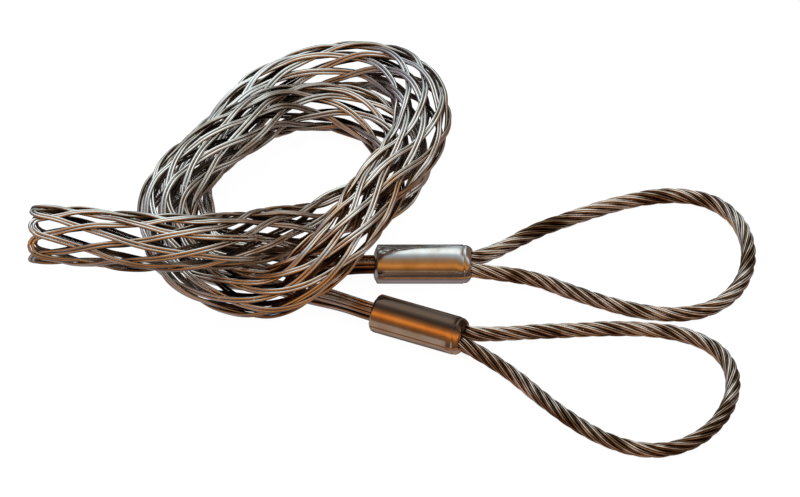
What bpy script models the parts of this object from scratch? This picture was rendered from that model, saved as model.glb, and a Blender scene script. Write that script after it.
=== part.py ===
"""Cable pulling grip: a woven steel wire sock, coiled twice and lying on a table, with two crimped
sleeves and two wire rope eyes. Metres, +Z up, the table at Z = 0."""

import math

import bmesh
import bpy
import numpy as np

MM = 0.001

# Driving dimensions of the sock
WIRE_D = 1.2 * MM
PAIRS_EACH_WAY = 8
PAIR_GAP = 0.22 * MM  # between the two wires of a pair
CROSSING_LIFT = 1.75 * MM  # how far a pair rides above or below the middle of the weave
CROSSING_PITCH = 23.52 * MM  # along the sock, from one row of crossings to the next
LOOP_REACH = 7.5 * MM  # of the U turns past the last row, at the open mouth
THROAT_HALF_WIDTH = 13.4 * MM
THROAT_HALF_HEIGHT = 11.0 * MM
RING_HALF_WIDTH = 14.8 * MM
RING_HALF_HEIGHT = 11.4 * MM
NARROW_HALF_WIDTH = 12.8 * MM  # where the two turns lie side by side
NARROW_HALF_HEIGHT = 12.4 * MM
MOUTH_HALF_WIDTH = 16.4 * MM
MOUTH_HALF_HEIGHT = 14.2 * MM
TURN_GAP = 1.2 * MM  # between the two turns of the coil

# Driving dimensions of the legs, sleeves and eyes
BUNDLE_PITCH = 1.85 * MM  # between neighbouring wires of a leg
SLEEVE_LENGTH = 46.5 * MM
SLEEVE_RADIUS = 10.0 * MM
SLEEVE_FACET_DROP = 9.0 * MM  # from the sleeve's axis to each pressed facet
SLEEVE_RIDGE = 0.5 * MM
SLEEVE_RIM = 0.9 * MM
WIRE_POCKET_DEPTH = 14.0 * MM
ROPE_POCKET_DEPTH = 16.0 * MM
ROPE_RADIUS = 3.9 * MM
ROPE_LAY = 52.0 * MM  # along the rope, for one turn of its strands
EYE_LENGTH = 139.5 * MM
EYE_WIDTH = 87.5 * MM
EYE_TAPER = 0.92  # how slowly an eye widens from its sleeve
SEAT_GAP = 0.3 * MM

# Where things lie on the table, in mm and degrees. The upper sleeve is the one farther back.
PLAN_ORIGIN = (-4.4, -12.1)  # the middle of the whole grip's box, which all pieces are moved by at the end
UPPER_SLEEVE_PLACE = (11.5, -19.2, 0.0)
LOWER_SLEEVE_PLACE = (9.5, -62.3, -22.0)
# Each eye's side that faces the other eye stays where it is, whatever the eye's width: its distance to
# the left of its sleeve's line, and by which share of the eye's length it has got there.
UPPER_EYE_SIDE = (-32.0, 0.3)
LOWER_EYE_SIDE = (49.8, 0.3)

# The middle line of the sock, in plan. Level 0 lies on the table and each level is one turn of sock.
THROAT_ROUTE = ((-89, -19.9, 0.0), (-103.1, -14.3, 0.45))  # x, y, share of the ring's size
RING_CENTRE = (-52, 40)
RING_ROUTE = (  # x, y of the middle of both turns, roll of one round the other, how squeezed they are
    (-110.1, 11, -111.7, 0.0),
    (-103.9, 35.6, -62.9, 0.0),
    (-79, 64.8, -55.3, 0.46),
    (-70.8, 83.2, -31.0, 1.0),
    (-35.2, 102.9, 6.8, 1.0),
    (-8.9, 94.9, 25.8, 0.67),
    (7, 63.8, 69.7, 0.07),
    (5.2, 40, 74.8, 0.0),
)
FRONT_ROUTE = (  # x, y, level
    (-5.5, 17.8, 1.05),
    (-27.1, -30.4, 1.175),
    (-49.3, -54.5, 0.928),
    (-71.8, -59.3, 0.494),
    (-89.3, -51.4, 0.748),
    (-107.3, -38.7, 0.504),
    (-119.3, -1.3, 0.939),
)
TAIL_ROUTE = (  # x, y, level, share of the way from the ring's size to the mouth's
    (-5.1, 26.8, 0.079, -0.07),
    (-28.2, 13.9, 0.068, 0.22),
    (-37.6, -4.9, 0.323, 0.43),
    (-50.9, -14.2, 0.618, 0.36),
    (-74.9, -35.4, 1.285, 0.81),
    (-89, -51.2, 1.829, 0.52),
    (-113.5, -55.7, 1.981, 0.78),
    (-134.3, -54, 1.862, 0.97),
    (-153.6, -45.4, 1.694, 1.05),
    (-186.8, -42.3, 1.67, 0.77),
)
UPPER_LEG_ROUTE = ((-60, -20.5, 10.4), (-38, -20.5, 7.8), (-22, -19.2, 8.8))
LOWER_LEG_ROUTE = ((-62, -29, 10.7), (-44, -38, 8.5), (-27, -46.5, 8.8))

BEND_SOFTENING = 30.0 * MM
ROUTE_SAMPLES = 900
LOOP_POINTS = 3
STRAND_SLANT = math.radians(17)  # of a pair to the sock's middle line, on the inside of a bend
LEG_SHARES = (0.27, 0.52, 0.78, 1.0)  # of the way from the throat to the sleeve
LEG_GATHERED = 0.85  # share of the leg by which its wires have come together
PROFILE_STEP = 12.0  # degrees round the sleeve
RIDGE_HALF_ANGLE = 5.0
FACET_ANGLES = (-34.0, -90.0, -146.0)
ROPE_STRANDS = 6
ROPE_POINTS_PER_LAY = 12


def material(name, colour, roughness):
    made = bpy.data.materials.new(name)
    made.use_nodes = True
    shader = made.node_tree.nodes["Principled BSDF"]
    shader.inputs["Base Color"].default_value = (*colour, 1.0)
    shader.inputs["Metallic"].default_value = 1.0
    shader.inputs["Roughness"].default_value = roughness
    return made


def smoothstep(share):
    share = np.clip(share, 0.0, 1.0)
    return share * share * (3.0 - 2.0 * share)


def even_rows(rows, samples):
    run = np.concatenate(([0.0], np.cumsum(np.linalg.norm(np.diff(rows[:, :3], axis=0), axis=1))))
    even = np.linspace(0.0, run[-1], samples)
    return np.column_stack([np.interp(even, run, column) for column in rows.T]), run[-1]


def smooth_rows(rows, samples, soften):
    """Rows of numbers as a smooth curve through them, in equal steps of length in x, y and z. Its bends
    are then evened out by averaging twice over this length."""
    rows = np.asarray(rows, float)
    steps = np.sqrt(np.linalg.norm(np.diff(rows[:, :3], axis=0), axis=1))
    knots = np.concatenate(([0.0], np.cumsum(steps)))
    slopes = np.gradient(rows, knots, axis=0)
    at = np.linspace(0.0, knots[-1], samples)
    span = np.clip(np.searchsorted(knots, at, side="right") - 1, 0, len(rows) - 2)
    width = (knots[span + 1] - knots[span])[:, None]
    t = (at[:, None] - knots[span][:, None]) / width
    fine = (
        (2 * t**3 - 3 * t**2 + 1) * rows[span]
        + (t**3 - 2 * t**2 + t) * width * slopes[span]
        + (3 * t**2 - 2 * t**3) * rows[span + 1]
        + (t**3 - t**2) * width * slopes[span + 1]
    )
    fine, length = even_rows(fine, samples)
    half = int(soften / length * samples / 2)
    for _ in range(2 if half else 0):
        before = 2 * fine[0] - fine[half:0:-1]
        after = 2 * fine[-1] - fine[-2 : -half - 2 : -1]
        padded = np.vstack([before, fine, after])
        totals = np.cumsum(np.vstack([0 * fine[:1], padded]), axis=0)
        fine = (totals[2 * half + 1 :] - totals[: -2 * half - 1]) / (2 * half + 1)
    return even_rows(fine, samples)


class Route:
    """A smooth middle line with a level side direction and an up direction at every point."""

    def __init__(self, rows, soften=0.0, samples=ROUTE_SAMPLES):
        self.rows, self.length = smooth_rows(rows, samples, soften)
        self.at = np.linspace(0.0, self.length, samples)
        tangent = np.gradient(self.rows[:, :3], self.at, axis=0)
        self.tangent = tangent / np.linalg.norm(tangent, axis=1)[:, None]
        side = np.cross(self.tangent, (0.0, 0.0, 1.0))
        self.side = side / np.linalg.norm(side, axis=1)[:, None]
        self.up = np.cross(self.side, self.tangent)

    def read(self, table, along):
        return np.array([np.interp(along, self.at, column) for column in table.T])

    def frame(self, along):
        inside = min(max(along, 0.0), self.length)
        row = self.read(self.rows, inside)
        tangent = self.read(self.tangent, inside)
        centre = row[:3] + tangent * (along - inside)
        return centre, tangent, self.read(self.side, inside), self.read(self.up, inside), row[3:]


def blend(first, second, share):
    return first + (second - first) * share


def sock_rows():
    """The sock's middle line with its outer half width and half height, from the throat to the mouth."""
    level_height = 2 * RING_HALF_HEIGHT + TURN_GAP
    rows = []
    for x, y, share in THROAT_ROUTE:
        half_width = blend(THROAT_HALF_WIDTH, RING_HALF_WIDTH, share)
        half_height = blend(THROAT_HALF_HEIGHT, RING_HALF_HEIGHT, share)
        rows.append((x * MM, y * MM, half_height, half_width, half_height))
    rows += ring_rows(1, level_height)
    for x, y, level in FRONT_ROUTE:
        height = RING_HALF_HEIGHT + level * level_height
        rows.append((x * MM, y * MM, height, RING_HALF_WIDTH, RING_HALF_HEIGHT))
    rows += ring_rows(-1, level_height)
    for x, y, level, share in TAIL_ROUTE:
        half_width = blend(RING_HALF_WIDTH, MOUTH_HALF_WIDTH, share)
        half_height = blend(RING_HALF_HEIGHT, MOUTH_HALF_HEIGHT, share)
        rows.append((x * MM, y * MM, half_height + level * level_height, half_width, half_height))
    return rows


def ring_rows(turn, level_height):
    """One turn of the ring. The first turn, 1, starts below the other, rolls round its outer side
    and ends on top of it; the second, -1, does the opposite."""
    rows = []
    for x, y, roll, squeeze in RING_ROUTE:
        half_width = blend(RING_HALF_WIDTH, NARROW_HALF_WIDTH, squeeze)
        half_height = blend(RING_HALF_HEIGHT, NARROW_HALF_HEIGHT, squeeze)
        outward = np.array((x - RING_CENTRE[0], y - RING_CENTRE[1]), float)
        outward /= np.linalg.norm(outward)
        across = (half_width + TURN_GAP / 2) * math.cos(math.radians(roll)) * turn
        rise = math.sin(math.radians(roll)) * level_height / 2
        place = np.array((x, y)) * MM + outward * across
        height = half_height + abs(rise) + rise * turn
        rows.append((place[0], place[1], height, half_width, half_height))
    return rows


def on_sock(sock, along, angle, lift, spread):
    """A point of the weave: lift outward from its middle, and spread sideways from the middle of its
    pair. Equal angles are equal lengths round the oval section."""
    centre, _, side, up, (half_width, half_height) = sock.frame(along)
    across = half_width - CROSSING_LIFT - WIRE_D / 2
    tall = half_height - CROSSING_LIFT - WIRE_D / 2
    angle += 0.5 * (across - tall) / (across + tall) * math.sin(2 * angle)
    outward = np.array((tall * math.cos(angle), across * math.sin(angle)))
    outward /= np.linalg.norm(outward)
    around = np.array((-outward[1], outward[0]))
    place = np.array((across * math.cos(angle), tall * math.sin(angle)))
    place += outward * lift + around * spread / math.cos(STRAND_SLANT)
    return centre + side * place[0] + up * place[1]


def leg_slots():
    """For each pair at the throat: its leg, 0 or 1, and its place round the middle of that leg."""
    angles = [(index + 0.5) * 2 * math.pi / PAIRS_EACH_WAY for index in range(PAIRS_EACH_WAY)]
    legs = [0 if math.cos(angle) > 0 else 1 for angle in angles]
    slots = {}
    for leg, facing in ((0, 1), (1, -1)):
        members = [index for index in range(PAIRS_EACH_WAY) if legs[index] == leg]
        members.sort(key=lambda index: math.atan2(math.sin(angles[index]), facing * math.cos(angles[index])))
        reach = block_radius() / math.sin(math.pi / len(members))
        for order, index in enumerate(members):
            turn = -math.pi + (order + 0.5) * 2 * math.pi / len(members)
            slots[index] = (leg, facing * reach * math.cos(turn), reach * math.sin(turn))
    return slots


def block_radius():
    """The circle round four wires that lie as a square: the two wires of a pair and the pair it crosses."""
    return BUNDLE_PITCH * math.sqrt(0.5) + WIRE_D / 2


def bundle_radius():
    most = (PAIRS_EACH_WAY + 1) // 2
    return block_radius() * (1 + 1 / math.sin(math.pi / most))


def leg_points(sock, leg, pair, lift_sign, spread_sign):
    """One wire's points down its leg, from next to the throat to the bottom of its sleeve's pocket."""
    sock_angle = (pair + 0.5) * 2 * math.pi / PAIRS_EACH_WAY
    centre, _, side, up, _ = sock.frame(0.0)
    spread = spread_sign * pair_offset()
    start = on_sock(sock, 0.0, sock_angle, lift_sign * CROSSING_LIFT, spread) - centre
    start = np.array((start @ side, start @ up))
    _, slot_across, slot_up = leg_slots()[pair]
    outward = np.array((math.cos(sock_angle), math.sin(sock_angle)))
    round_way = np.array((-outward[1], outward[0]))
    half = BUNDLE_PITCH / 2
    end = np.array((slot_across, slot_up)) + outward * lift_sign * half + round_way * spread_sign * half
    points = []
    mouth = leg.length - (WIRE_POCKET_DEPTH - SEAT_GAP)
    for along in [share * mouth for share in LEG_SHARES] + [leg.length]:
        here, _, across, rising, _ = leg.frame(along)
        place = blend(start, end, smoothstep(along / (mouth * LEG_GATHERED)))
        points.append(here - across * place[0] + rising * place[1])
    return points


def pair_offset():
    return (WIRE_D + PAIR_GAP) / 2


def wire_points(sock, legs, pair, inner):
    """The whole of one wire: up its leg, along the sock, round the U at the mouth and back again."""
    rows = int((sock.length - LOOP_REACH) / CROSSING_PITCH)
    step = math.pi / PAIRS_EACH_WAY
    first_angle = (pair + 0.5) * 2 * step
    spread = pair_offset() * (1 if inner else -1)
    slots = leg_slots()
    out_leg = legs[slots[pair][0]]
    home_pair = (pair + rows + 1) % PAIRS_EACH_WAY
    home_leg = legs[slots[home_pair][0]]
    points = leg_points(sock, out_leg, pair, 1, 1 if inner else -1)[::-1]
    for row in range(rows + 1):
        lift = CROSSING_LIFT * (-1) ** row
        points.append(on_sock(sock, row * CROSSING_PITCH, first_angle + row * step, lift, spread))
    turn_angle = first_angle + (rows + 1) * step
    last = rows * CROSSING_PITCH
    for index in range(1, LOOP_POINTS + 1):
        swing = math.pi * index / (LOOP_POINTS + 1)
        reach = LOOP_REACH - WIRE_D / 2 - pair_offset() - spread
        lift = CROSSING_LIFT * (-1) ** rows * math.cos(swing)
        points.append(
            on_sock(
                sock,
                last + reach * math.sin(swing),
                turn_angle - step * math.cos(swing),
                lift,
                spread * math.cos(swing),
            )
        )
    for row in range(rows, -1, -1):
        lift = -CROSSING_LIFT * (-1) ** row
        angle = turn_angle + step * (rows + 1 - row)
        points.append(on_sock(sock, row * CROSSING_PITCH, angle, lift, -spread))
    points += leg_points(sock, home_leg, home_pair, -1, -1 if inner else 1)
    return points


def tube(name, points, radius, bevel_resolution, finish, collection, tilts=None):
    """A wire or rope: a poly curve with a round section and filled ends."""
    curve = bpy.data.curves.new(name, "CURVE")
    curve.dimensions = "3D"
    curve.bevel_depth = radius
    curve.bevel_resolution = bevel_resolution
    curve.use_fill_caps = True
    spline = curve.splines.new("POLY")
    spline.points.add(len(points) - 1)
    spline.points.foreach_set("co", np.column_stack([points, np.ones(len(points))]).ravel())
    if tilts is not None:
        spline.points.foreach_set("tilt", tilts)
    curve.materials.append(finish)
    made = bpy.data.objects.new(name, curve)
    collection.objects.link(made)
    return made


def sleeve_frame(place):
    """A sleeve's middle, the direction from its wires to its rope eye, and the direction to its left."""
    x, y, yaw = place
    turn = math.radians(yaw)
    middle = np.array((x * MM, y * MM, SLEEVE_FACET_DROP))
    return middle, np.array((math.cos(turn), math.sin(turn), 0.0)), np.array((-math.sin(turn), math.cos(turn), 0.0))


def leg_route(sock, route, place):
    """The middle of a leg, from the throat's middle to the bottom of the sleeve's pocket."""
    middle, forward, _ = sleeve_frame(place)
    mouth = middle - forward * SLEEVE_LENGTH / 2
    bottom = mouth + forward * (WIRE_POCKET_DEPTH - SEAT_GAP)
    throat = sock.frame(0.0)[0]
    rows = [tuple(throat)] + [(x * MM, y * MM, z * MM) for x, y, z in route]
    rows += [tuple(mouth - forward * SEAT_GAP), tuple(bottom)]
    return Route([(*row, 0.0) for row in rows])


def sleeve_radius(angle):
    """The sleeve's outline, angles in degrees from its front side upward: round above, with a ridge
    where the press tools met at each side and three flat facets below."""
    around = SLEEVE_RADIUS
    for facet in FACET_ANGLES:
        off = math.radians(angle - facet)
        if abs(off) < math.pi / 3:
            around = min(around, SLEEVE_FACET_DROP / math.cos(off))
    for ridge in (0.0, 180.0, -180.0):
        around += SLEEVE_RIDGE * max(0.0, 1.0 - abs(angle - ridge) / RIDGE_HALF_ANGLE)
    return around


def sleeve_angles():
    """Where the outline has its corners: evenly above, and at the ends of ridges and facets below."""
    half_facet = math.degrees(math.acos(SLEEVE_FACET_DROP / SLEEVE_RADIUS))
    angles = list(np.arange(PROFILE_STEP, 180.0 - PROFILE_STEP / 2, PROFILE_STEP))
    for facet in FACET_ANGLES:
        angles += [facet - half_facet, facet + half_facet]
    for ridge in (0.0, 180.0):
        angles += [ridge - RIDGE_HALF_ANGLE, ridge, ridge + RIDGE_HALF_ANGLE]
    return sorted((angle + 180.0) % 360.0 - 180.0 for angle in angles)


def outline_prism(name, outline, length):
    """A closed outline in x and y, filled and drawn out along z, centred, as a mesh with welded caps."""
    curve = bpy.data.curves.new(name, "CURVE")
    curve.dimensions = "2D"
    curve.fill_mode = "BOTH"
    curve.extrude = length / 2
    spline = curve.splines.new("POLY")
    spline.points.add(len(outline) - 1)
    for point, (x, y) in zip(spline.points, outline):
        point.co = (x, y, 0.0, 1.0)
    spline.use_cyclic_u = True
    drawn = bpy.data.objects.new(name + "_outline", curve)
    bpy.context.scene.collection.objects.link(drawn)
    bpy.context.view_layer.update()
    mesh = bpy.data.meshes.new_from_object(drawn.evaluated_get(bpy.context.evaluated_depsgraph_get()))
    bpy.data.objects.remove(drawn)
    shape = bmesh.new()
    shape.from_mesh(mesh)
    bmesh.ops.remove_doubles(shape, verts=shape.verts, dist=0.00001)
    bmesh.ops.recalc_face_normals(shape, faces=shape.faces)
    shape.to_mesh(mesh)
    shape.free()
    mesh.name = name
    return mesh


def lie_along(made, place, shift):
    """Turns a prism drawn along z to lie along the sleeve's axis, shifted along it."""
    middle, forward, left = sleeve_frame(place)
    made.location = middle + forward * shift
    made.rotation_euler = (math.pi / 2, 0.0, math.radians(place[2]) + math.pi / 2)


def pocket_cutter(name, outline, depth, place, end, collection):
    """A cutter for a pocket of this depth in the sleeve's wire end, -1, or its rope end, 1."""
    mesh = outline_prism(name, outline, 2 * depth)
    cutter = bpy.data.objects.new(name, mesh)
    cutter.hide_render = True
    cutter.display_type = "WIRE"
    collection.objects.link(cutter)
    lie_along(cutter, place, end * SLEEVE_LENGTH / 2)
    return cutter


def obround(half_straight, radius, steps=16):
    """Two half circles joined by straight lines, as wide again as twice half_straight."""
    turns = np.linspace(-math.pi / 2, math.pi / 2, steps // 2 + 1)
    right = [(half_straight + radius * math.cos(turn), radius * math.sin(turn)) for turn in turns]
    return right + [(-x, -y) for x, y in right]


def sleeve(name, place, finish, parts, cutters):
    """A crimped sleeve lying on its lowest facet, with a pocket for the wires and one for the rope."""
    turns = [(angle, math.radians(angle)) for angle in sleeve_angles()]
    outline = [(sleeve_radius(angle) * math.cos(turn), sleeve_radius(angle) * math.sin(turn)) for angle, turn in turns]
    mesh = outline_prism(name, outline, SLEEVE_LENGTH)
    made = bpy.data.objects.new(name, mesh)
    parts.objects.link(made)
    lie_along(made, place, 0.0)
    rim = made.modifiers.new("rolled rims", "BEVEL")
    rim.width = SLEEVE_RIM
    rim.segments = 2
    rim.limit_method = "ANGLE"
    rim.angle_limit = math.radians(60)
    round_pocket = [
        ((bundle_radius() + SEAT_GAP) * math.cos(turn), (bundle_radius() + SEAT_GAP) * math.sin(turn))
        for turn in np.linspace(0.0, 2 * math.pi, 20, endpoint=False)
    ]
    rope_pocket = obround(rope_offset(), ROPE_RADIUS + SEAT_GAP)
    for label, pocket, depth, end in (
        ("wire_pocket", round_pocket, WIRE_POCKET_DEPTH, -1),
        ("rope_pocket", rope_pocket, ROPE_POCKET_DEPTH, 1),
    ):
        cut = made.modifiers.new(label, "BOOLEAN")
        cut.operation = "DIFFERENCE"
        cut.object = pocket_cutter(name + "_" + label, pocket, depth, place, end, cutters)
    mesh.materials.append(finish)
    mesh.shade_smooth()
    mesh.set_sharp_from_angle(angle=math.radians(30))
    return made


def rope_offset():
    """From the sleeve's axis to the middle of each rope end beside it."""
    return ROPE_RADIUS + SEAT_GAP / 2


def eye_points(place, kept_side):
    """A teardrop eye: out of the sleeve, round, and back beside itself. It comes down from the sleeve's
    height to the table over the first third of its length."""
    middle, forward, left = sleeve_frame(place)
    exit_point = middle + forward * SLEEVE_LENGTH / 2
    swing = np.linspace(0.0, 2 * math.pi, 400)
    ahead = EYE_LENGTH * (1 - np.cos(swing)) / 2
    bulge = np.sin(swing) * ((1 - np.cos(swing)) / 2) ** EYE_TAPER
    sideways = rope_offset() * np.cos(swing / 2) + (EYE_WIDTH / 2 - ROPE_RADIUS) * bulge / bulge.max()
    lean = kept_side[0] * MM - math.copysign(EYE_WIDTH / 2, kept_side[0])
    sideways = sideways + lean * smoothstep(ahead / (kept_side[1] * EYE_LENGTH))
    height = blend(SLEEVE_FACET_DROP, ROPE_RADIUS, smoothstep(3 * ahead / EYE_LENGTH)) - SLEEVE_FACET_DROP
    loop = exit_point + np.outer(ahead, forward) + np.outer(sideways, left)
    loop[:, 2] += height
    inside = forward * (ROPE_POCKET_DEPTH - SEAT_GAP)
    path = np.vstack([loop[0] - inside, loop, loop[-1] - inside])
    run = np.concatenate(([0.0], np.cumsum(np.linalg.norm(np.diff(path, axis=0), axis=1))))
    count = int(run[-1] / ROPE_LAY * ROPE_POINTS_PER_LAY)
    even = np.linspace(0.0, run[-1], count)
    return np.column_stack([np.interp(even, run, column) for column in path.T]), even


def build():
    for old in list(bpy.data.objects):
        bpy.data.objects.remove(old)
    parts = bpy.data.collections.new("cable_pulling_grip")
    cutters = bpy.data.collections.new("cutters")
    bpy.context.scene.collection.children.link(parts)
    bpy.context.scene.collection.children.link(cutters)
    wire_steel = material("galvanised_wire", (0.55, 0.52, 0.47), 0.35)
    rope_steel = material("wire_rope", (0.33, 0.28, 0.24), 0.45)
    sleeve_metal = material("crimped_aluminium", (0.62, 0.62, 0.64), 0.3)

    sock = Route(sock_rows(), BEND_SOFTENING)
    legs = (
        leg_route(sock, UPPER_LEG_ROUTE, UPPER_SLEEVE_PLACE),
        leg_route(sock, LOWER_LEG_ROUTE, LOWER_SLEEVE_PLACE),
    )
    for pair in range(PAIRS_EACH_WAY):
        for inner in (False, True):
            number = 2 * pair + (2 if inner else 1)
            points = wire_points(sock, legs, pair, inner)
            tube(f"mesh_wire_{number:02d}", points, WIRE_D / 2, 0, wire_steel, parts)
    for label, place, kept_side in (
        ("upper", UPPER_SLEEVE_PLACE, UPPER_EYE_SIDE),
        ("lower", LOWER_SLEEVE_PLACE, LOWER_EYE_SIDE),
    ):
        sleeve(label + "_crimp_sleeve", place, sleeve_metal, parts, cutters)
        points, along = eye_points(place, kept_side)
        tilts = along * 2 * math.pi / ROPE_LAY
        tube(label + "_eye_rope", points, ROPE_RADIUS, ROPE_STRANDS // 2 - 2, rope_steel, parts, tilts)
    for made in list(parts.objects) + list(cutters.objects):
        made.location.x -= PLAN_ORIGIN[0] * MM
        made.location.y -= PLAN_ORIGIN[1] * MM


build()
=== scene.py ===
"""The looks of the cable pulling grip: round mesh wires, wire ropes laid from their single wires and
crimped sleeves with a domed end and a squeezed-out nose, on a white floor in soft light. Metres, +Z up,
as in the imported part.

The lines that carry the sock, its legs and the rope eyes repeat the part's own numbers, so every wire
here lies where its solid does."""

import math

import bpy
import numpy as np
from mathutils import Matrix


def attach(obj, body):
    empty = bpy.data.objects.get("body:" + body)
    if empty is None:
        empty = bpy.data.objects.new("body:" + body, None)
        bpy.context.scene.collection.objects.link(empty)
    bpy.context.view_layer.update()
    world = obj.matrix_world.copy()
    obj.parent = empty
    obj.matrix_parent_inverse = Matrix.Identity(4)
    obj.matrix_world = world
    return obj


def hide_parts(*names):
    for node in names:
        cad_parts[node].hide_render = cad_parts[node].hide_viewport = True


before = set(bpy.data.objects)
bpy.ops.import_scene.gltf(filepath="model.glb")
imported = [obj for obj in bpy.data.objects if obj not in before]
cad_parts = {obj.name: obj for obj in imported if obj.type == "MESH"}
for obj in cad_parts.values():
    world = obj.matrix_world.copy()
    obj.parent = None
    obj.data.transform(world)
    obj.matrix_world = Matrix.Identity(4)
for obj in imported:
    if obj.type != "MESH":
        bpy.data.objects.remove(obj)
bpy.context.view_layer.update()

MM = 0.001

# The part's own numbers
PAIRS_EACH_WAY = 8
CROSSING_PITCH = 23.52 * MM
CROSSING_ROWS = 39
LOOP_REACH = 7.5 * MM
THROAT_HALF = (13.4 * MM, 11.0 * MM)  # half width and half height of the sock, over its wires
RING_HALF = (14.8 * MM, 11.4 * MM)
NARROW_HALF = (12.8 * MM, 12.4 * MM)
MOUTH_HALF = (16.4 * MM, 14.2 * MM)
TURN_GAP = 1.2 * MM
SLEEVE_LENGTH = 46.5 * MM
SLEEVE_RADIUS = 10.0 * MM
SLEEVE_FACET_DROP = 9.0 * MM
SLEEVE_RIDGE = 0.5 * MM
WIRE_POCKET_DEPTH = 14.0 * MM
ROPE_POCKET_DEPTH = 16.0 * MM
ROPE_RADIUS = 3.9 * MM
ROPE_LAY = 52.0 * MM
EYE_LENGTH = 139.5 * MM
EYE_WIDTH = 87.5 * MM
EYE_TAPER = 0.92
SEAT_GAP = 0.3 * MM
UPPER_SLEEVE_PLACE = (11.5, -19.2, 0.0)
LOWER_SLEEVE_PLACE = (9.5, -62.3, -22.0)
PLAN_ORIGIN = (-4.4, -12.1)
UPPER_EYE_SIDE = (-32.0, 0.3)
LOWER_EYE_SIDE = (49.8, 0.3)

# The sock's route, in mm. The points, heights and rolls of the throat, ring, front and tail aren't chosen
# by hand: a random search fitted them to the photo's outline, and they are rounded here as in the part
THROAT_ROUTE = ((-89, -19.9, 0.0), (-103.1, -14.3, 0.45))
RING_CENTRE = (-52, 40)
RING_ROUTE = (
    (-110.1, 11, -111.7, 0.0),
    (-103.9, 35.6, -62.9, 0.0),
    (-79, 64.8, -55.3, 0.46),
    (-70.8, 83.2, -31.0, 1.0),
    (-35.2, 102.9, 6.8, 1.0),
    (-8.9, 94.9, 25.8, 0.67),
    (7, 63.8, 69.7, 0.07),
    (5.2, 40, 74.8, 0.0),
)
FRONT_ROUTE = (
    (-5.5, 17.8, 1.05),
    (-27.1, -30.4, 1.175),
    (-49.3, -54.5, 0.928),
    (-71.8, -59.3, 0.494),
    (-89.3, -51.4, 0.748),
    (-107.3, -38.7, 0.504),
    (-119.3, -1.3, 0.939),
)
TAIL_ROUTE = (
    (-5.1, 26.8, 0.079, -0.07),
    (-28.2, 13.9, 0.068, 0.22),
    (-37.6, -4.9, 0.323, 0.43),
    (-50.9, -14.2, 0.618, 0.36),
    (-74.9, -35.4, 1.285, 0.81),
    (-89, -51.2, 1.829, 0.52),
    (-113.5, -55.7, 1.981, 0.78),
    (-134.3, -54, 1.862, 0.97),
    (-153.6, -45.4, 1.694, 1.05),
    (-186.8, -42.3, 1.67, 0.77),
)
UPPER_LEG_ROUTE = ((-60, -20.5, 10.4), (-38, -20.5, 7.8), (-22, -19.2, 8.8))
LOWER_LEG_ROUTE = ((-62, -29, 10.7), (-44, -38, 8.5), (-27, -46.5, 8.8))
BEND_SOFTENING = 30.0 * MM
ROUTE_SAMPLES = 900

# Sizes of the real wires, which the part's solids draw thinner and straighter
WIRE_D = 1.6 * MM
PAIR_GAP = 0.06 * MM
CROSSING_LIFT = 0.86 * MM
BUNDLE_PITCH = 1.72 * MM
STRAND_SLANT = math.radians(11)
LEG_GATHERED = 0.85
WIRE_STEP = 2.4 * MM  # between the rings of points along a wire
WIRE_SIDES = 8
WIRE_SOFTENING = 2.4 * MM  # how far a wire's own stiffness rounds off its kinks
RIDE_STEEPNESS = 2.2  # how fast a pair changes between riding on top and diving under
LEG_START = 3.0 * MM  # how far past the throat a wire begins to follow its leg
ROW_SAMPLES = 20
LOOP_SAMPLES = 34
LEG_SAMPLES = 120
WIRE_SAMPLES = 3000

ROPE_STRANDS = 6
STRAND_RADIUS = 1.3 * MM
STRAND_WIRES = 6
STRAND_WIRE_LAY = 70.0 * MM  # over a strand that turns with the rope, so its wires run nearly along it
STRAND_CORE_TUCK = 1.6  # how many wire radii the core of a strand stays inside it
STRAND_CORE_SIDES = 6
ROPE_STEP = 1.6 * MM
ROPE_WIRE_SIDES = 8
EYE_SAMPLES = 400

SLEEVE_SIDES = 240
SLEEVE_RIM = 0.9 * MM
SLEEVE_FACETS = ((-34.0, 0.25), (-90.0, 0.0), (-146.0, 0.25))  # degrees round, share crowned
RIDGE_SPREAD = 3.0  # degrees
LIP_REACH = 2.0 * MM
LIP_SWELL = 0.35 * MM
WIRE_END_SWELL = 0.4  # share of the rope end's

FRONT_TUBE_MIDDLE = (-0.02, -0.01, 0.045)
LAMP_PLACE = (-0.15, 0.35, 1.3)
CAMERA_ELEVATION = math.radians(45)
CAMERA_DISTANCE = 1.5
PICTURE_WIDTH = 0.4
AIM_PAST_ORIGIN = 1.06  # mm: the photo's middle row is one and a half rows above the route's y 0


def smoothstep(share):
    """0 to 1 with level ends: three times the square less twice the cube of the share."""
    share = np.clip(share, 0.0, 1.0)
    return share * share * (3.0 - 2.0 * share)


def blend(first, second, share):
    """From first to second by this share of the way."""
    return first + (second - first) * share


def unit(rows):
    """The same directions, each of length 1."""
    return rows / np.linalg.norm(rows, axis=-1, keepdims=True)


def even_rows(rows, samples):
    """The rows again, as many as asked, in equal steps of length in x, y and z."""
    run = np.concatenate(([0.0], np.cumsum(np.linalg.norm(np.diff(rows[:, :3], axis=0), axis=1))))
    even = np.linspace(0.0, run[-1], samples)
    return np.column_stack([np.interp(even, run, column) for column in rows.T]), run[-1]


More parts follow.
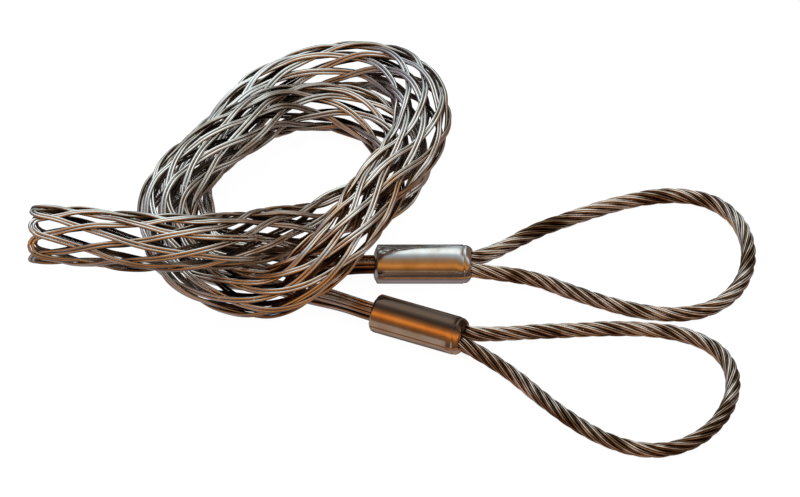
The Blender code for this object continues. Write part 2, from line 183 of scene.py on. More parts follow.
def smooth_rows(rows, samples, soften):
    """A Hermite curve through the rows, whose slopes are the central differences, in equal steps of
    length, with its bends evened out by averaging twice over the softening length."""
    rows = np.asarray(rows, float)
    steps = np.sqrt(np.linalg.norm(np.diff(rows[:, :3], axis=0), axis=1))
    knots = np.concatenate(([0.0], np.cumsum(steps)))
    slopes = np.gradient(rows, knots, axis=0)
    at = np.linspace(0.0, knots[-1], samples)
    span = np.clip(np.searchsorted(knots, at, side="right") - 1, 0, len(rows) - 2)
    width = (knots[span + 1] - knots[span])[:, None]
    t = (at[:, None] - knots[span][:, None]) / width
    fine = (
        (2 * t**3 - 3 * t**2 + 1) * rows[span]
        + (t**3 - 2 * t**2 + t) * width * slopes[span]
        + (3 * t**2 - 2 * t**3) * rows[span + 1]
        + (t**3 - t**2) * width * slopes[span + 1]
    )
    fine, length = even_rows(fine, samples)
    half = int(soften / length * samples / 2)
    for _ in range(2 if half else 0):
        before = 2 * fine[0] - fine[half:0:-1]
        after = 2 * fine[-1] - fine[-2 : -half - 2 : -1]
        padded = np.vstack([before, fine, after])
        totals = np.cumsum(np.vstack([0 * fine[:1], padded]), axis=0)
        fine = (totals[2 * half + 1 :] - totals[: -2 * half - 1]) / (2 * half + 1)
    return even_rows(fine, samples)


class Route:
    """A smooth middle line with a level side direction and an up direction at every point."""

    def __init__(self, rows, soften=0.0, samples=ROUTE_SAMPLES):
        self.rows, self.length = smooth_rows(rows, samples, soften)
        self.at = np.linspace(0.0, self.length, samples)
        self.tangent = unit(np.gradient(self.rows[:, :3], self.at, axis=0))
        self.side = unit(np.cross(self.tangent, (0.0, 0.0, 1.0)))
        self.up = np.cross(self.side, self.tangent)

    def read(self, table, along):
        """A table's columns between its samples, by straight lines."""
        return np.column_stack([np.interp(along, self.at, column) for column in table.T])

    def frame(self, along):
        """Middle, tangent, side, up and the other columns at an array of lengths along the line."""
        along = np.atleast_1d(along)
        inside = np.clip(along, 0.0, self.length)
        rows = self.read(self.rows, inside)
        tangent = self.read(self.tangent, inside)
        centre = rows[:, :3] + tangent * (along - inside)[:, None]
        return centre, tangent, self.read(self.side, inside), self.read(self.up, inside), rows[:, 3:]


def ring_rows(turn, level_height):
    """One turn of the ring, 1 or -1. The two lie beside or on each other: their roll round the middle of
    both gives by its cosine how far apart in plan and by its sine how far apart in height."""
    rows = []
    for x, y, roll, squeeze in RING_ROUTE:
        half_width = blend(RING_HALF[0], NARROW_HALF[0], squeeze)
        half_height = blend(RING_HALF[1], NARROW_HALF[1], squeeze)
        outward = unit(np.array((x - RING_CENTRE[0], y - RING_CENTRE[1]), float))
        across = (half_width + TURN_GAP / 2) * math.cos(math.radians(roll)) * turn
        rise = math.sin(math.radians(roll)) * level_height / 2
        place = np.array((x, y)) * MM + outward * across
        rows.append((place[0], place[1], half_height + abs(rise) + rise * turn, half_width, half_height))
    return rows


def sock_rows():
    """The sock's middle line with its half width and half height, from the throat to the mouth."""
    level_height = 2 * RING_HALF[1] + TURN_GAP
    rows = []
    for x, y, share in THROAT_ROUTE:
        half_height = blend(THROAT_HALF[1], RING_HALF[1], share)
        rows.append((x * MM, y * MM, half_height, blend(THROAT_HALF[0], RING_HALF[0], share), half_height))
    rows += ring_rows(1, level_height)
    rows += [
        (x * MM, y * MM, RING_HALF[1] + level * level_height, *RING_HALF) for x, y, level in FRONT_ROUTE
    ]
    rows += ring_rows(-1, level_height)
    for x, y, level, share in TAIL_ROUTE:
        half_height = blend(RING_HALF[1], MOUTH_HALF[1], share)
        half_width = blend(RING_HALF[0], MOUTH_HALF[0], share)
        rows.append((x * MM, y * MM, half_height + level * level_height, half_width, half_height))
    return rows


def on_sock(sock, along, angle, lift, spread):
    """Points of the weave and the directions out of the sock there. The section is an oval with equal
    angles nearly equal lengths round it: a point is on the oval, plus lift along its normal, plus
    spread along its tangent."""
    centre, _, side, up, half = sock.frame(along)
    across = half[:, 0] - CROSSING_LIFT - WIRE_D / 2
    tall = half[:, 1] - CROSSING_LIFT - WIRE_D / 2
    angle = angle + 0.5 * (across - tall) / (across + tall) * np.sin(2 * angle)
    normal = unit(np.column_stack([tall * np.cos(angle), across * np.sin(angle)]))
    sideways = across * np.cos(angle) + normal[:, 0] * lift - normal[:, 1] * spread / math.cos(STRAND_SLANT)
    upward = tall * np.sin(angle) + normal[:, 1] * lift + normal[:, 0] * spread / math.cos(STRAND_SLANT)
    out = side * normal[:, :1] + up * normal[:, 1:]
    return centre + side * sideways[:, None] + up * upward[:, None], out


def riding(rows):
    """1 where a pair rides on top and -1 where it dives under, held level over each crossing and
    changing between them: a cosine of the row number, steepened by a hyperbolic tangent."""
    return np.tanh(RIDE_STEEPNESS * np.cos(math.pi * rows)) / math.tanh(RIDE_STEEPNESS)


def sleeve_frame(place):
    """A sleeve's middle, the direction from its wires to its rope eye, and the direction to its left."""
    x, y, yaw = place
    turn = math.radians(yaw)
    middle = np.array((x * MM, y * MM, SLEEVE_FACET_DROP))
    forward = np.array((math.cos(turn), math.sin(turn), 0.0))
    return middle, forward, np.array((-math.sin(turn), math.cos(turn), 0.0))


def leg_route(sock, route, place):
    """The middle of a leg, from the throat's middle to the bottom of the sleeve's pocket."""
    middle, forward, _ = sleeve_frame(place)
    mouth = middle - forward * SLEEVE_LENGTH / 2
    bottom = mouth + forward * (WIRE_POCKET_DEPTH - SEAT_GAP)
    rows = [tuple(sock.frame(0.0)[0][0])] + [(x * MM, y * MM, z * MM) for x, y, z in route]
    rows += [tuple(mouth - forward * SEAT_GAP), tuple(bottom)]
    return Route([(*row, 0.0) for row in rows])


def leg_slots():
    """For each pair at the throat: its leg, 0 or 1, and its place round the middle of that leg."""
    angles = [(index + 0.5) * 2 * math.pi / PAIRS_EACH_WAY for index in range(PAIRS_EACH_WAY)]
    legs = [0 if math.cos(angle) > 0 else 1 for angle in angles]
    block = BUNDLE_PITCH * math.sqrt(0.5) + WIRE_D / 2
    slots = {}
    for leg, facing in ((0, 1), (1, -1)):
        members = [index for index in range(PAIRS_EACH_WAY) if legs[index] == leg]
        members.sort(key=lambda index: math.atan2(math.sin(angles[index]), facing * math.cos(angles[index])))
        reach = block / math.sin(math.pi / len(members))
        for order, index in enumerate(members):
            turn = -math.pi + (order + 0.5) * 2 * math.pi / len(members)
            slots[index] = (leg, np.array((facing * reach * math.cos(turn), reach * math.sin(turn))))
    return slots


def leg_path(sock, leg, slot, pair, lift_sign, spread):
    """One wire down its leg: its place in the leg's section moves from where it leaves the weave to its
    place in the bundle by a smooth step of the length gone."""
    angle = (pair + 0.5) * 2 * math.pi / PAIRS_EACH_WAY
    centre, _, side, up, _ = sock.frame(0.0)
    start, _ = on_sock(sock, 0.0, np.array([angle]), lift_sign * CROSSING_LIFT, spread)
    offset = (start - centre)[0]
    start = np.array((offset @ side[0], offset @ up[0]))
    outward = np.array((math.cos(angle), math.sin(angle)))
    round_way = np.array((-outward[1], outward[0]))
    half = BUNDLE_PITCH / 2
    end = slot + outward * lift_sign * half + round_way * math.copysign(half, spread)
    mouth = leg.length - (WIRE_POCKET_DEPTH - SEAT_GAP)
    along = np.linspace(LEG_START, leg.length, LEG_SAMPLES)
    share = smoothstep(along / (mouth * LEG_GATHERED))[:, None]
    here, _, across, rising, _ = leg.frame(along)
    place = blend(start, end, share)
    out = -across * outward[0] + rising * outward[1]
    return here - across * place[:, :1] + rising * place[:, 1:], out


def wire_path(sock, legs, slots, pair, inner):
    """A whole wire: up its leg, along the sock in a spiral that climbs half the pair spacing a row,
    round a U at the mouth, and back in the opposite spiral."""
    step = math.pi / PAIRS_EACH_WAY
    first = (pair + 0.5) * 2 * step
    spread = (WIRE_D + PAIR_GAP) / 2 * (1 if inner else -1)
    out_leg, out_slot = slots[pair]
    home = (pair + CROSSING_ROWS + 1) % PAIRS_EACH_WAY
    home_leg, home_slot = slots[home]
    rows = np.linspace(0.0, CROSSING_ROWS, CROSSING_ROWS * ROW_SAMPLES + 1)
    turn_angle = first + (CROSSING_ROWS + 1) * step
    top = (-1) ** CROSSING_ROWS
    swing = np.linspace(0.0, math.pi, LOOP_SAMPLES)[1:-1]
    reach = LOOP_REACH - WIRE_D / 2 - abs(spread) - spread
    pieces = [tuple(part[::-1] for part in leg_path(sock, legs[out_leg], out_slot, pair, 1, spread))]
    lift = CROSSING_LIFT * riding(rows)
    pieces.append(on_sock(sock, rows * CROSSING_PITCH, first + rows * step, lift, spread))
    pieces.append(
        on_sock(
            sock,
            CROSSING_ROWS * CROSSING_PITCH + reach * np.sin(swing),
            turn_angle - step * np.cos(swing),
            CROSSING_LIFT * top * np.cos(swing),
            spread * np.cos(swing),
        )
    )
    back = rows[::-1]
    angle = turn_angle + step * (CROSSING_ROWS + 1 - back)
    pieces.append(on_sock(sock, back * CROSSING_PITCH, angle, -CROSSING_LIFT * riding(back), -spread))
    pieces.append(leg_path(sock, legs[home_leg], home_slot, home, -1, -spread))
    rows = np.hstack([np.vstack([part[0] for part in pieces]), np.vstack([part[1] for part in pieces])])
    return stiffened(rows)


def stiffened(rows):
    """The path in even steps, its kinks rounded as a stiff wire rounds them, by a bell-shaped average."""
    fine, length = even_rows(rows, WIRE_SAMPLES)
    reach = int(3 * WIRE_SOFTENING / length * WIRE_SAMPLES)
    weights = np.exp(-0.5 * (np.arange(-reach, reach + 1) / (reach / 3)) ** 2)
    weights /= weights.sum()
    padded = np.vstack([2 * fine[0] - fine[reach:0:-1], fine, 2 * fine[-1] - fine[-2 : -reach - 2 : -1]])
    soft = np.column_stack([np.convolve(column, weights, "valid") for column in padded.T])
    return even_rows(soft, int(length / WIRE_STEP))[0]


def tube_shell(path, outward, radius, sides):
    """A closed tube: a circle of this radius carried along the path, its zero angle kept towards the
    outward directions, and a point to close each end. Gives its points, faces and the cosine of each
    point's direction to outward."""
    tangent = unit(np.gradient(path, axis=0))
    first = unit(outward - tangent * np.sum(outward * tangent, axis=1)[:, None])
    second = np.cross(tangent, first)
    turn = np.linspace(0.0, 2 * math.pi, sides, endpoint=False)
    circle = np.cos(turn)[None, :, None] * first[:, None, :]
    circle = circle + np.sin(turn)[None, :, None] * second[:, None, :]
    points = (path[:, None, :] + radius * circle).reshape(-1, 3)
    count = len(path)
    ring = np.arange(count - 1)[:, None] * sides
    here = np.arange(sides)[None, :]
    after = (here + 1) % sides
    quads = np.stack([ring + here, ring + after, ring + after + sides, ring + here + sides], axis=-1)
    quads = quads.reshape(-1, 4)
    rim = np.arange(sides)
    start = np.column_stack([np.full(sides, len(points)), np.roll(rim, -1), rim])
    base = (count - 1) * sides
    end = np.column_stack([np.full(sides, len(points) + 1), base + rim, base + np.roll(rim, -1)])
    points = np.vstack([points, path[0], path[-1]])
    facing = np.concatenate([np.tile(np.cos(turn), count), (0.0, 0.0)])
    return points, quads, np.vstack([start, end]), facing


def run_lengths(path):
    """The length gone at each point of the path."""
    return np.concatenate(([0.0], np.cumsum(np.linalg.norm(np.diff(path, axis=0), axis=1))))


def grip_mesh(name, shells, finish):
    """One object made of closed shells, each given as points, four-sided faces, three-sided faces and
    a number a point, which becomes the attribute facing."""
    points, facing = [], []
    corners, counts, total = [], [], 0
    for shell_points, quads, triangles, shell_facing in shells:
        points.append(shell_points)
        facing.append(shell_facing)
        for block in (quads, triangles):
            if len(block):
                corners.append((block + total).ravel())
                counts.append(np.full(len(block), block.shape[1]))
        total += len(shell_points)
    points = np.vstack(points) - np.array((*PLAN_ORIGIN, 0.0)) * MM
    corners = np.concatenate(corners).astype(np.int32)
    counts = np.concatenate(counts).astype(np.int32)
    mesh = bpy.data.meshes.new(name)
    mesh.vertices.add(len(points))
    mesh.vertices.foreach_set("co", points.astype(np.float32).ravel())
    mesh.loops.add(len(corners))
    mesh.loops.foreach_set("vertex_index", corners)
    mesh.polygons.add(len(counts))
    mesh.polygons.foreach_set("loop_start", np.concatenate(([0], np.cumsum(counts)[:-1])).astype(np.int32))
    mesh.update(calc_edges=True)
    mesh.validate()
    layer = mesh.attributes.new("facing", "FLOAT", "POINT")
    layer.data.foreach_set("value", np.concatenate(facing).astype(np.float32))
    mesh.shade_smooth()
    mesh.materials.append(finish)
    made = bpy.data.objects.new(name, mesh)
    bpy.context.scene.collection.objects.link(made)
    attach(made, "root")
    return made


def rope_offset():
    """From the sleeve's axis to the middle of each rope end beside it."""
    return ROPE_RADIUS + SEAT_GAP / 2


def eye_path(place, kept_side):
    """The rope eye's middle line: ahead is a raised cosine of the swing, sideways a teardrop bulge, and
    the height falls from the sleeve's axis to the table over the first third."""
    middle, forward, left = sleeve_frame(place)
    exit_point = middle + forward * SLEEVE_LENGTH / 2
    swing = np.linspace(0.0, 2 * math.pi, EYE_SAMPLES)
    ahead = EYE_LENGTH * (1 - np.cos(swing)) / 2
    bulge = np.sin(swing) * ((1 - np.cos(swing)) / 2) ** EYE_TAPER
    sideways = rope_offset() * np.cos(swing / 2) + (EYE_WIDTH / 2 - ROPE_RADIUS) * bulge / bulge.max()
    lean = kept_side[0] * MM - math.copysign(EYE_WIDTH / 2, kept_side[0])
    sideways = sideways + lean * smoothstep(ahead / (kept_side[1] * EYE_LENGTH))
    height = blend(SLEEVE_FACET_DROP, ROPE_RADIUS, smoothstep(3 * ahead / EYE_LENGTH)) - SLEEVE_FACET_DROP
    loop = exit_point + np.outer(ahead, forward) + np.outer(sideways, left)
    loop[:, 2] += height
    inside = forward * (ROPE_POCKET_DEPTH - SEAT_GAP)
    rows = np.vstack([loop[0] - inside, loop, loop[-1] - inside])
    length = run_lengths(rows)[-1]
    return even_rows(rows, int(length / ROPE_STEP))[0]


def rope_strands(path):
    """Six strands laid right-handed round the rope's middle line, each one a ring of wires laid the other
    way round a core. A strand's middle is the rope's middle plus a radius that turns once a lay, and a
    wire's middle is the strand's middle plus a smaller radius that turns backwards."""
    along = run_lengths(path)
    tangent = unit(np.gradient(path, axis=0))
    side = unit(np.cross(tangent, (0.0, 0.0, 1.0)))
    up = np.cross(side, tangent)
    wire_radius = STRAND_RADIUS * math.sin(math.pi / STRAND_WIRES) / (1 + math.sin(math.pi / STRAND_WIRES))
    strands = []
    for strand in range(ROPE_STRANDS):
        turn = (2 * math.pi * (strand / ROPE_STRANDS - along / ROPE_LAY))[:, None]
        radial = np.cos(turn) * side + np.sin(turn) * up
        middle = path + radial * (ROPE_RADIUS - STRAND_RADIUS)
        heading = unit(np.gradient(middle, axis=0))
        radial = unit(radial - heading * np.sum(radial * heading, axis=1)[:, None])
        across = np.cross(heading, radial)
        core_radius = STRAND_RADIUS - STRAND_CORE_TUCK * wire_radius
        core = tube_shell(middle, radial, core_radius, STRAND_CORE_SIDES)
        # The core's facing of -1 turns it black in the rope's colour: painted shade in the grooves between
        # strands
        shells = [(*core[:3], np.full(len(core[3]), -1.0))]
        for wire in range(STRAND_WIRES):
            spin = (2 * math.pi * (wire / STRAND_WIRES - along / STRAND_WIRE_LAY))[:, None]
            out = np.cos(spin) * radial + np.sin(spin) * across
            line = middle + out * (STRAND_RADIUS - wire_radius)
            shell = tube_shell(line, out, wire_radius, ROPE_WIRE_SIDES)
            # Each wire is lighter where it faces out and on the crown of its strand: painted highlight
            # there, painted shade between the wires
            crown = np.concatenate([np.repeat(np.cos(spin[:, 0]), ROPE_WIRE_SIDES), (0.0, 0.0)])
            shells.append((*shell[:3], 0.5 * shell[3] + 0.5 * crown))
        strands.append(shells)
    return strands


def sleeve_radius(degrees):
    """The sleeve's outline: round above, a ridge where the press tools met at each side, and three
    facets below, the middle one flat and the others slightly crowned."""
    around = np.full(len(degrees), SLEEVE_RADIUS)
    for facet, crowned in SLEEVE_FACETS:
        off = np.radians(degrees - facet)
        flat = SLEEVE_FACET_DROP / np.maximum(np.cos(off), 0.2)
        flat = flat + crowned * np.maximum(SLEEVE_RADIUS - flat, 0.0)
        near = np.abs(off) < math.pi / 3
        around = np.where(near, np.minimum(around, flat), around)
    for ridge in (0.0, 180.0, -180.0):
        around = around + SLEEVE_RIDGE * np.exp(-(((degrees - ridge) / RIDGE_SPREAD) ** 2))
    return around


def sleeve_shell(place):
    """A closed shell: the outline carried along the axis, drawn in at the first rim by a quarter circle,
    then closed by a dome round the wires and by a nose with an uneven lip round the rope."""
    degrees = np.linspace(-180.0, 180.0, SLEEVE_SIDES, endpoint=False)
    turn = np.radians(degrees)
    outline = sleeve_radius(degrees)
    half = SLEEVE_LENGTH / 2
    bend = np.linspace(0.0, math.pi / 2, 6)
    # Places along the axis from each end and how far in from the outline, in mm: the end at the wires is
    # a low dome, the end at the rope has a crease where the dies stopped and a squeezed-out nose
    wire_end = ((1.2, -6.2), (-0.9, -5.8), (-1.3, -5.0), (-1.2, -3.8), (-0.8, -2.3), (-0.2, -1.2))
    rope_end = (
        (3.4, 0.0),
        (3.1, -0.25),
        (2.8, -0.5),
        (2.5, -0.3),
        (2.0, -0.25),
        (1.2, -0.5),
        (0.3, -1.1),
        (-0.5, -1.9),
        (-1.0, -2.9),
        (-1.0, -3.7),
        (-0.4, -4.2),
        (0.8, -4.4),
    )
    stations = [(-half + x * MM, inward * MM) for x, inward in wire_end]
    stations += [
        (-half + SLEEVE_RIM * (1 - math.sin(b)), -SLEEVE_RIM * (1 - math.cos(b))) for b in bend[::-1]
    ]
    stations += [(x, 0.0) for x in np.linspace(-half + SLEEVE_RIM, half - rope_end[0][0] * MM, 14)[1:-1]]
    stations += [(half - x * MM, inward * MM) for x, inward in rope_end]
    # The metal squeezed out past the dies swells more in some places round the rope than in others
    swell = LIP_SWELL * (np.sin(3 * turn + 0.8) + 0.6 * np.sin(5 * turn + 2.1))
    middle, forward, left = sleeve_frame(place)
    rings = []
    for x, inward in stations:
        radius = outline + inward
        past = np.clip((abs(x) - half + LIP_REACH) / LIP_REACH, 0.0, 1.0) * (1 if x > 0 else WIRE_END_SWELL)
        rings.append(
            middle
            + np.outer(x + past * swell, forward)
            + np.outer(radius * np.cos(turn), -left)
            + np.outer(radius * np.sin(turn), (0.0, 0.0, 1.0))
        )
    sides = len(degrees)
    points = np.vstack(rings)
    ring = np.arange(len(stations) - 1)[:, None] * sides
    here = np.arange(sides)[None, :]
    after = (here + 1) % sides
    quads = np.stack([ring + here, ring + here + sides, ring + after + sides, ring + after], axis=-1)
    quads = quads.reshape(-1, 4)
    rim = np.arange(sides)
    base = (len(stations) - 1) * sides
    start = np.column_stack([np.full(sides, len(points)), rim, np.roll(rim, -1)])
    end = np.column_stack([np.full(sides, len(points) + 1), base + np.roll(rim, -1), base + rim])
    points = np.vstack([points, middle + forward * stations[0][0], middle + forward * stations[-1][0]])
    # The sine of the angle round is each point's height on the sleeve; the second sleeve finish paints shade
    # along the top from it
    facing = np.concatenate([np.tile(np.sin(turn), len(stations)), (0.0, 0.0)])
    return points, quads, np.vstack([start, end]), facing


def linear(hex_colour):
    """An sRGB hex colour as the linear colour that a shader takes."""
    parts = [int(hex_colour[place : place + 2], 16) / 255 for place in (1, 3, 5)]
    return (*[part / 12.92 if part <= 0.04045 else ((part + 0.055) / 1.055) ** 2.4 for part in parts], 1.0)


def add(tree, kind, settings=(), values=(), links=()):
    """Adds a node with its settings, its input values and its links from other nodes' outputs."""
    made = tree.nodes.new(kind)
    for name, value in dict(settings).items():
        setattr(made, name, value)
    for socket, value in dict(values).items():
        made.inputs[socket].default_value = value
    for socket, source in dict(links).items():
        tree.links.new(source, made.inputs[socket])
    return made


def ease(tree, source, start, end, low=0.0, high=1.0):
    """A smooth step of the source, from low where it is at start to high where it is at end."""
    made = add(
        tree,
        "ShaderNodeMapRange",
        {"interpolation_type": "SMOOTHSTEP"},
        {"From Min": start, "From Max": end, "To Min": low, "To Max": high},
        {"Value": source},
    )
    return made.outputs["Result"]


def new_finish(name, roughness):
    """A metal material with its node tree and its shader."""
    made = bpy.data.materials.new(name)
    made.use_nodes = True
    shader = made.node_tree.nodes["Principled BSDF"]
    shader.inputs["Metallic"].default_value = 1.0
    shader.inputs["Roughness"].default_value = roughness
    return made, made.node_tree, shader


def colour_steps(tree, source, steps):
    """A colour ramp through these places and sRGB hex colours."""
    ramp = add(tree, "ShaderNodeValToRGB", links={"Fac": source})
    while len(ramp.color_ramp.elements) < len(steps):
        ramp.color_ramp.elements.new(0.5)
    for element, (place, colour) in zip(ramp.color_ramp.elements, steps):
        element.position = place
        element.color = linear(colour)
    return ramp


def drawn_wire_finish():
    """Drawn, hot-dip galvanised spring steel wire. Lighter on the outside of the weave, where it is rubbed
    bright and carries a painted highlight, with a thin brown film of drawing oil and handling dirt on its
    flanks and painted shade, dark, where wires lie on each other. An orange-brown painted reflection of warm
    surroundings
    lies over the front tube: a smooth fall with the distance from the middle of that tube."""
    made, tree, shader = new_finish("galvanised_spring_wire", 0.3)
    place = add(tree, "ShaderNodeTexCoord").outputs["Object"]
    reach = add(
        tree,
        "ShaderNodeVectorMath",
        {"operation": "DISTANCE"},
        {1: FRONT_TUBE_MIDDLE},
        {0: place},
    )
    # Painted reflection: an orange-brown tint of warm surroundings, strongest on the front tube and falling
    # off with the distance from its middle
    painted_warm_reflection = ease(tree, reach.outputs["Value"], 0.025, 0.085, 0.75, 0.12)
    cloud = add(tree, "ShaderNodeTexNoise", values={"Scale": 42.0, "Detail": 3.0}, links={"Vector": place})
    streak = add(tree, "ShaderNodeTexNoise", values={"Scale": 900.0, "Detail": 2.0}, links={"Vector": place})
    facing = add(tree, "ShaderNodeAttribute", {"attribute_name": "facing"}).outputs["Fac"]
    # Lighter where the wire faces out of the weave and darker where it faces in: rubbed bright with a
    # painted highlight outside, painted shade inside where wires lie on each other
    rubbed_and_painted_light = add(
        tree,
        "ShaderNodeMath",
        {"operation": "MULTIPLY_ADD"},
        {1: 0.32, 2: 0.08},
        {0: facing},
    )
    share = add(
        tree,
        "ShaderNodeMath",
        {"operation": "ADD"},
        links={0: rubbed_and_painted_light.outputs[0], 1: cloud.outputs["Fac"]},
    )
    clean = colour_steps(
        tree, share.outputs[0], ((0.2, "#1c1815"), (0.42, "#6e6459"), (0.64, "#aba79c"), (0.85, "#e2e6e4"))
    )
    # The colours of the painted orange-brown reflection
    painted_tint = colour_steps(
        tree, share.outputs[0], ((0.2, "#1a110a"), (0.42, "#764d28"), (0.66, "#bd8a50"), (0.92, "#dcd8d0"))
    )
    tint = add(
        tree,
        "ShaderNodeMix",
        {"data_type": "RGBA"},
        links={
            "Factor": painted_warm_reflection,
            "A": clean.outputs["Color"],
            "B": painted_tint.outputs["Color"],
        },
    )
    tree.links.new(tint.outputs["Result"], shader.inputs["Base Color"])
    rough = add(
        tree,
        "ShaderNodeMapRange",
        values={"To Min": 0.34, "To Max": 0.16},
        links={"Value": share.outputs[0]},
    )
    tree.links.new(rough.outputs["Result"], shader.inputs["Roughness"])
    bump = add(
        tree,
        "ShaderNodeBump",
        values={"Strength": 0.25, "Distance": 0.0001},
        links={"Height": streak.outputs["Fac"]},
    )
    tree.links.new(bump.outputs["Normal"], shader.inputs["Normal"])
    return made


def laid_rope_finish():
    """Galvanised wire rope, lightly oiled: grey-bright on the outside of each wire on the crown of its
    strand, worn and with a painted highlight, brown with oil and dust between the wires, deepened there by
    painted shade, and black with painted shade in the grooves between strands."""
    made, tree, shader = new_finish("oiled_galvanised_wire_rope", 0.22)
    place = add(tree, "ShaderNodeTexCoord").outputs["Object"]
    cloud = add(tree, "ShaderNodeTexNoise", values={"Scale": 60.0, "Detail": 4.0}, links={"Vector": place})
    crown = add(tree, "ShaderNodeAttribute", {"attribute_name": "facing"}).outputs["Fac"]
    # Painted highlight on the crowns and painted shade between the wires and in the grooves, over some wear
    # and oil
    worn_and_painted_light = add(
        tree,
        "ShaderNodeMath",
        {"operation": "MULTIPLY_ADD"},
        {1: 0.42, 2: -0.05},
        {0: crown},
    )
    share = add(
        tree,
        "ShaderNodeMath",
        {"operation": "ADD"},
        links={0: worn_and_painted_light.outputs[0], 1: cloud.outputs["Fac"]},
    )
    tint = colour_steps(
        tree, share.outputs[0], ((0.24, "#0c0704"), (0.47, "#422f1f"), (0.68, "#7f6a50"), (0.87, "#ecebe5"))
    )
    tree.links.new(tint.outputs["Color"], shader.inputs["Base Color"])
    return made


def pressed_sleeve_finish(name, amber_with_painted_shade):
    """Pressed aluminium: bright where the dies burnished it, with fine drag lines along the sleeve and
    faint brown oil stains. The other kind is amber all over and has painted shade along its top, a dark
    brown where its surface looks up: a smooth step of the height of that place round the sleeve."""
    made, tree, shader = new_finish(name, 0.14)
    place = add(tree, "ShaderNodeTexCoord").outputs["Object"]
    stretched = add(
        tree, "ShaderNodeMapping", values={"Scale": (60.0, 900.0, 900.0)}, links={"Vector": place}
    )
    drag = add(
        tree,
        "ShaderNodeTexNoise",
        values={"Scale": 1.0, "Detail": 3.0},
        links={"Vector": stretched.outputs["Vector"]},
    )
    cloud = add(tree, "ShaderNodeTexNoise", values={"Scale": 110.0, "Detail": 4.0}, links={"Vector": place})
    clean = ((0.2, "#a89f95"), (0.42, "#c2c0bd"), (0.75, "#cfd3d6"))
    amber = ((0.2, "#c9ab88"), (0.42, "#dcc3a3"), (0.75, "#e6d6c0"))
    tint = colour_steps(tree, cloud.outputs["Fac"], amber if amber_with_painted_shade else clean)
    colour = tint.outputs["Color"]
    if amber_with_painted_shade:
        # Painted shade: a dark brown along the top of the sleeve, where its surface looks up
        height = add(tree, "ShaderNodeAttribute", {"attribute_name": "facing"}).outputs["Fac"]
        painted_top_shade = ease(tree, height, 0.72, 0.93)
        painted_tint = add(
            tree,
            "ShaderNodeMix",
            {"data_type": "RGBA"},
            {"B": linear("#54443a")},
            {"Factor": painted_top_shade, "A": colour},
        )
        colour = painted_tint.outputs["Result"]
    tree.links.new(colour, shader.inputs["Base Color"])
    rough = add(
        tree,
        "ShaderNodeMapRange",
        values={"To Min": 0.1, "To Max": 0.24},
        links={"Value": drag.outputs["Fac"]},
    )
    tree.links.new(rough.outputs["Result"], shader.inputs["Roughness"])
    bump = add(
        tree,
        "ShaderNodeBump",
        values={"Strength": 0.15, "Distance": 0.00006},
        links={"Height": drag.outputs["Fac"]},
    )
    tree.links.new(bump.outputs["Normal"], shader.inputs["Normal"])
    return made


def make_grip():
    """All visible pieces: a wire for each mesh wire, a sleeve for each sleeve, six strands for each rope."""
    wire_finish = drawn_wire_finish()
    rope_finish = laid_rope_finish()
    clean_sleeve = pressed_sleeve_finish("pressed_aluminium", False)
    # The second sleeve finish is amber, with painted shade along its top
    amber_sleeve_painted_shade = pressed_sleeve_finish("amber_pressed_aluminium_painted_shade", True)
    sock = Route(sock_rows(), BEND_SOFTENING)
    legs = (
        leg_route(sock, UPPER_LEG_ROUTE, UPPER_SLEEVE_PLACE),
        leg_route(sock, LOWER_LEG_ROUTE, LOWER_SLEEVE_PLACE),
    )
    slots = leg_slots()
    for pair in range(PAIRS_EACH_WAY):
        for inner in (False, True):
            number = 2 * pair + (2 if inner else 1)
            rows = wire_path(sock, legs, slots, pair, inner)
            shell = tube_shell(rows[:, :3], rows[:, 3:], WIRE_D / 2, WIRE_SIDES)
            wire = grip_mesh(f"drawn_wire_{number:02d}", [shell], wire_finish)
            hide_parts(f"mesh_wire_{number:02d}")
    for label, place, kept_side, sleeve_finish in (
        ("upper", UPPER_SLEEVE_PLACE, UPPER_EYE_SIDE, clean_sleeve),
        ("lower", LOWER_SLEEVE_PLACE, LOWER_EYE_SIDE, amber_sleeve_painted_shade),
    ):
        sleeve = grip_mesh(label + "_pressed_sleeve", [sleeve_shell(place)], sleeve_finish)
        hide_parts(label + "_crimp_sleeve")
        for number, shells in enumerate(rope_strands(eye_path(place, kept_side)), 1):
            strand = grip_mesh(f"{label}_rope_strand_{number}", shells, rope_finish)
            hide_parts(label + "_eye_rope")


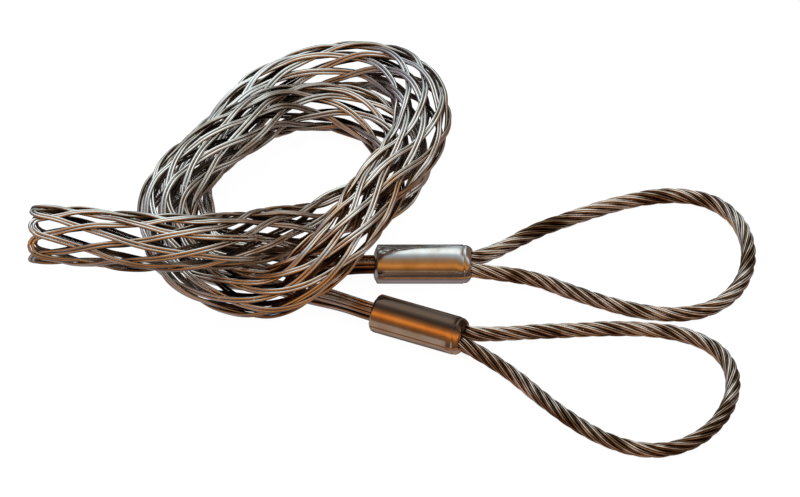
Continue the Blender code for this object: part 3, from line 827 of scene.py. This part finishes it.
def make_room():
    """A white studio for the light that falls on things, and a room of bands for what the metal mirrors:
    the band is chosen by the angle of a direction in the plane across the table, counted from the
    camera's side over the top to the far side. A lit ceiling beyond the top, dim grey above, a warm
    wooden wall behind the camera and a dull floor."""
    world = bpy.data.worlds.new("studio")
    bpy.context.scene.world = world
    world.use_nodes = True
    tree = world.node_tree
    white = tree.nodes["Background"]
    white.inputs["Color"].default_value = (1.0, 1.0, 1.0, 1.0)
    white.inputs["Strength"].default_value = 0.95
    place = add(tree, "ShaderNodeTexCoord").outputs["Generated"]
    parts = add(tree, "ShaderNodeSeparateXYZ", links={"Vector": place})
    near = add(tree, "ShaderNodeMath", {"operation": "MULTIPLY"}, {1: -1.0}, {0: parts.outputs["Y"]})
    angle = add(
        tree,
        "ShaderNodeMath",
        {"operation": "ARCTAN2"},
        links={0: parts.outputs["Z"], 1: near.outputs[0]},
    )
    share = add(
        tree,
        "ShaderNodeMapRange",
        values={"From Min": -math.pi, "From Max": math.pi},
        links={"Value": angle.outputs[0]},
    )
    skewed = add(
        tree,
        "ShaderNodeMath",
        {"operation": "MULTIPLY_ADD"},
        {1: 0.067},
        {0: parts.outputs["X"], 2: share.outputs["Result"]},
    )
    bands = colour_steps(
        tree,
        skewed.outputs[0],
        (
            (0.0, "#858c8e"),
            (0.06, "#2f3136"),
            (0.15, "#3a3230"),
            (0.22, "#8a7f7d"),
            (0.3, "#54484a"),
            (0.42, "#43362f"),
            (0.46, "#4b3a30"),
            (0.54, "#70461f"),
            (0.6, "#c67d32"),
            (0.65, "#976234"),
            (0.7, "#88694a"),
            (0.75, "#918c8a"),
            (0.79, "#aab4b8"),
            (0.83, "#fbffff"),
            (0.89, "#f4fbfb"),
            (0.95, "#a9b3b5"),
        ),
    )
    # The far side is bright only straight ahead: to the left it is a violet grey, to the right brown
    aside = add(tree, "ShaderNodeMath", {"operation": "ABSOLUTE"}, links={0: parts.outputs["X"]})
    beside = ease(tree, aside.outputs[0], 0.22, 0.52)
    beyond = ease(tree, parts.outputs["Y"], -0.1, 0.35)
    dim = add(tree, "ShaderNodeMath", {"operation": "MULTIPLY"}, links={0: beside, 1: beyond})
    sides = colour_steps(tree, parts.outputs["X"], ((0.0, "#6a6070"), (0.1, "#6b5549")))
    seen = add(
        tree,
        "ShaderNodeMix",
        {"data_type": "RGBA"},
        links={"Factor": dim.outputs[0], "A": bands.outputs["Color"], "B": sides.outputs["Color"]},
    )
    # Low down on the left stands something pale and mauve
    left = ease(tree, parts.outputs["X"], -0.25, -0.5)
    low = ease(tree, parts.outputs["Z"], 0.1, -0.15)
    pale = add(tree, "ShaderNodeMath", {"operation": "MULTIPLY"}, links={0: left, 1: low})
    seen = add(
        tree,
        "ShaderNodeMix",
        {"data_type": "RGBA"},
        {"B": linear("#82797a")},
        {"Factor": pale.outputs[0], "A": seen.outputs["Result"]},
    )
    room = add(
        tree,
        "ShaderNodeBackground",
        values={"Strength": 1.65},
        links={"Color": seen.outputs["Result"]},
    )
    path = add(tree, "ShaderNodeLightPath")
    mix = add(
        tree,
        "ShaderNodeMixShader",
        links={0: path.outputs["Is Glossy Ray"], 1: white.outputs[0], 2: room.outputs[0]},
    )
    tree.links.new(mix.outputs[0], tree.nodes["World Output"].inputs["Surface"])


def make_stage():
    """A white floor lit from below, so that it shows hardly a shadow, one soft light from above and a
    camera that looks down at 45 degrees, as the photographer did. The metal mirrors the room, not the
    floor or the light."""
    mesh = bpy.data.meshes.new("floor")
    mesh.from_pydata([(-3, -3, 0), (3, -3, 0), (3, 3, 0), (-3, 3, 0)], [], [(0, 1, 2, 3)])
    floor = bpy.data.objects.new("floor", mesh)
    bpy.context.scene.collection.objects.link(floor)
    paper = bpy.data.materials.new("lit_white_glass")
    paper.use_nodes = True
    shader = paper.node_tree.nodes["Principled BSDF"]
    shader.inputs["Base Color"].default_value = linear("#505050")
    shader.inputs["Roughness"].default_value = 0.9
    shader.inputs["Specular IOR Level"].default_value = 0.1
    shader.inputs["Emission Color"].default_value = linear("#ffffff")
    shader.inputs["Emission Strength"].default_value = 0.96
    mesh.materials.append(paper)
    floor.visible_glossy = False

    make_room()
    light = bpy.data.lights.new("softbox", "AREA")
    light.size = 1.0
    light.energy = 14.0
    light.color = linear("#fbfdff")[:3]
    lamp = bpy.data.objects.new("softbox", light)
    bpy.context.scene.collection.objects.link(lamp)
    lamp.location = LAMP_PLACE
    lamp.rotation_euler = (-math.atan2(LAMP_PLACE[1], LAMP_PLACE[2]), 0.0, 0.0)
    lamp.visible_glossy = False

    camera_data = bpy.data.cameras.new("camera")
    camera_data.type = "ORTHO"
    camera_data.ortho_scale = PICTURE_WIDTH
    camera = bpy.data.objects.new("camera", camera_data)
    bpy.context.scene.collection.objects.link(camera)
    # The middle of the photograph looks at the table where the route has x 0 and a y just past 0
    aim = np.array((-PLAN_ORIGIN[0] * MM, (AIM_PAST_ORIGIN - PLAN_ORIGIN[1]) * MM, 0.0))
    back = np.array((0.0, -math.cos(CAMERA_ELEVATION), math.sin(CAMERA_ELEVATION)))
    camera.location = aim + back * CAMERA_DISTANCE
    camera.rotation_euler = (math.pi / 2 - CAMERA_ELEVATION, 0.0, 0.0)
    bpy.context.scene.camera = camera
    bpy.context.scene.view_settings.view_transform = "Standard"


make_grip()
make_stage()
